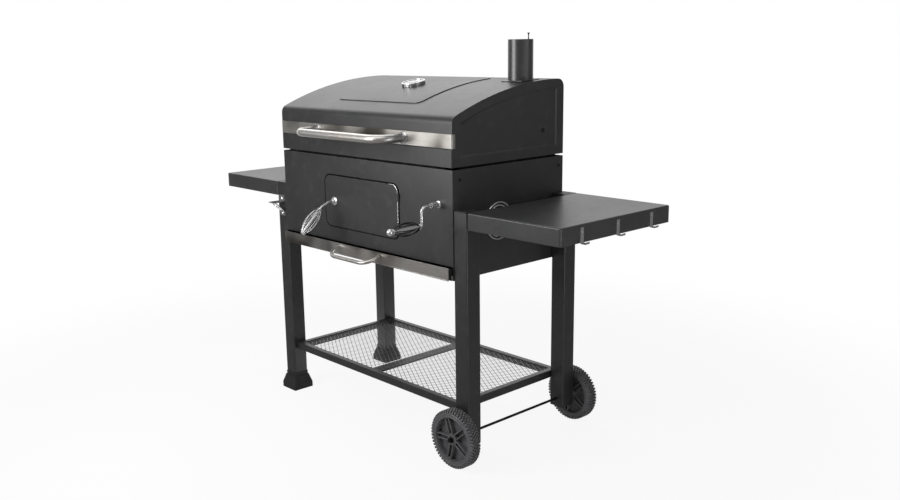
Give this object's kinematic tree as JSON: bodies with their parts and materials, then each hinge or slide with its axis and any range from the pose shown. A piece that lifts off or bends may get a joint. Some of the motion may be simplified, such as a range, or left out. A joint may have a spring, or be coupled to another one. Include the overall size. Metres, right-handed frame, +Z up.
{
  "type": "charcoal grill cart",
  "caption": "Charcoal grill cart: firebox with hinged lid and chimney, side tables, wire shelf, wheels, crank-lifted charcoal pan, front charcoal door and ash drawer.",
  "frame": {"origin": "middle of the cart's overall footprint, on the floor", "axes": "+X to the wheeled end, viewer's right from the front; -Y out of the front, where the charcoal door and the handles are; +Z up"},
  "size_m": [1.664, 0.7396, 1.2653],
  "materials": {
    "black_steel": "matte charcoal powder coat",
    "dark_steel": "heat-proof matte black enamel",
    "black_plastic": "moulded black plastic",
    "wheel_plastic": "moulded black plastic with a knobbed tread",
    "brushed_steel": "brushed stainless steel",
    "bright_steel": "zinc-plated steel",
    "chrome": "bright chrome plate",
    "cast_iron": "seasoned cast iron",
    "dial": "printed white dial",
    "needle": "black needle",
    "glass": "clear glass"
  },
  "bodies": {
    "cart": {"leg_front_left": "black_steel", "leg_rear_left": "black_steel", "leg_front_right": "black_steel", "leg_rear_right": "black_steel", "feet": "black_plastic", "leg_plugs": "black_plastic", "firebox_front": "black_steel", "firebox_rear": "black_steel", "firebox_left": "black_steel", "firebox_right": "black_steel", "rim_frame": "black_steel", "lid_stops": "black_plastic", "table_left": "black_steel", "table_right": "black_steel", "table_hooks": "bright_steel", "bottle_opener": "bright_steel", "shelf_frame": "black_steel", "shelf_mesh": "black_steel", "axle": "black_steel", "axle_nuts": "bright_steel", "drawer_runners": "bright_steel", "grate_left": "cast_iron", "grate_right": "cast_iron", "grate_rests": "dark_steel", "lift_guides": "dark_steel", "crank_bushes": "bright_steel", "body_bolts": "bright_steel", "hinge_brackets": "black_steel", "lid_hinge_pins": "bright_steel", "door_hinge": "black_steel"},
    "lid": {"lid_shell": "black_steel", "lid_side_left": "black_steel", "lid_side_right": "black_steel", "lid_trim": "brushed_steel", "lid_handle": "brushed_steel", "handle_mounts": "brushed_steel", "thermometer_case": "chrome", "thermometer_dial": "dial", "thermometer_glass": "glass", "chimney": "black_steel", "lid_hinge_leaves": "black_steel", "rack_bolts": "bright_steel"},
    "rack": {"warming_rack": "chrome"},
    "links": {"rack_links": "bright_steel"},
    "damper": {"chimney_damper": "black_steel"},
    "needle": {"thermometer_needle": "needle"},
    "door": {"charcoal_door": "black_steel"},
    "latch": {"latch_lever": "chrome", "latch_grip": "chrome"},
    "crank": {"crank": "chrome"},
    "crank_grip": {"crank_grip": "chrome"},
    "lift": {"lift_frame": "dark_steel", "charcoal_pan": "dark_steel"},
    "drawer": {"ash_drawer": "dark_steel", "drawer_front": "brushed_steel", "drawer_handle": "brushed_steel"},
    "wheel_front": {"wheel_front": "wheel_plastic"},
    "wheel_rear": {"wheel_rear": "wheel_plastic"},
    "vent_right": {"vent_right": "chrome"},
    "vent_left": {"vent_left": "chrome"}
  },
  "joints": [
    {"name": "lid_hinge", "type": "hinge", "parent": "cart", "child": "lid", "pos_m": [-0.011, 0.32283, 0.8885], "axis": [-1, 0, 0], "range_deg": [0, 90]},
    {"name": "rack_swing", "type": "hinge", "parent": "lid", "child": "rack", "pos_m": [-0.011, 0.21683, 0.971], "axis": [1, 0, 0], "range_deg": [0, 90]},
    {"name": "link_swing", "type": "hinge", "parent": "cart", "child": "links", "pos_m": [-0.011, 0.25683, 0.8505], "axis": [-1, 0, 0], "range_deg": [0, 90]},
    {"name": "damper_turn", "type": "hinge", "parent": "lid", "child": "damper", "pos_m": [0.339, 0.19383, 1.246], "axis": [0, 0, 1], "range_deg": [0, 60]},
    {"name": "needle_turn", "type": "hinge", "parent": "lid", "child": "needle", "pos_m": [-0.011, 0.06236, 1.1071], "axis": [0, -0.1885, 0.9821], "range_deg": [-240, 0]},
    {"name": "door_swing", "type": "hinge", "parent": "cart", "child": "door", "pos_m": [0.1776, -0.17737, 0.737], "axis": [0, 0, 1], "range_deg": [0, 95]},
    {"name": "latch_turn", "type": "hinge", "parent": "door", "child": "latch", "pos_m": [-0.146, -0.17317, 0.737], "axis": [0, 1, 0], "range_deg": [0, 85]},
    {"name": "crank_turn", "type": "hinge", "parent": "cart", "child": "crank", "pos_m": [0.356, -0.17317, 0.782], "axis": [0, 1, 0], "range_deg": [0, 191]},
    {"name": "grip_spin", "type": "hinge", "parent": "crank", "child": "crank_grip", "pos_m": [0.356, -0.24117, 0.726], "axis": [0, 1, 0], "continuous": true},
    {"name": "pan_lift", "type": "slide", "parent": "cart", "child": "lift", "axis": [0, 0, 1], "range_m": [0, 0.06]},
    {"name": "drawer_slide", "type": "slide", "parent": "cart", "child": "drawer", "axis": [0, -1, 0], "range_m": [0, 0.36]},
    {"name": "wheel_front_spin", "type": "hinge", "parent": "cart", "child": "wheel_front", "pos_m": [0.441, -0.17317, 0.09], "axis": [0, 1, 0], "continuous": true},
    {"name": "wheel_rear_spin", "type": "hinge", "parent": "cart", "child": "wheel_rear", "pos_m": [0.441, 0.31083, 0.09], "axis": [0, 1, 0], "continuous": true},
    {"name": "vent_right_turn", "type": "hinge", "parent": "cart", "child": "vent_right", "pos_m": [0.414, 0.01483, 0.716], "axis": [1, 0, 0], "range_deg": [0, 45]},
    {"name": "vent_left_turn", "type": "hinge", "parent": "cart", "child": "vent_left", "pos_m": [-0.436, 0.01483, 0.716], "axis": [-1, 0, 0], "range_deg": [0, 45]}
  ],
  "couplings": [
    {"joint": "rack_swing", "follows": "lid_hinge", "ratio": 1},
    {"joint": "link_swing", "follows": "lid_hinge", "ratio": 1},
    {"joint": "crank_turn", "follows": "pan_lift", "rad_per_m": 55.556}
  ]
}
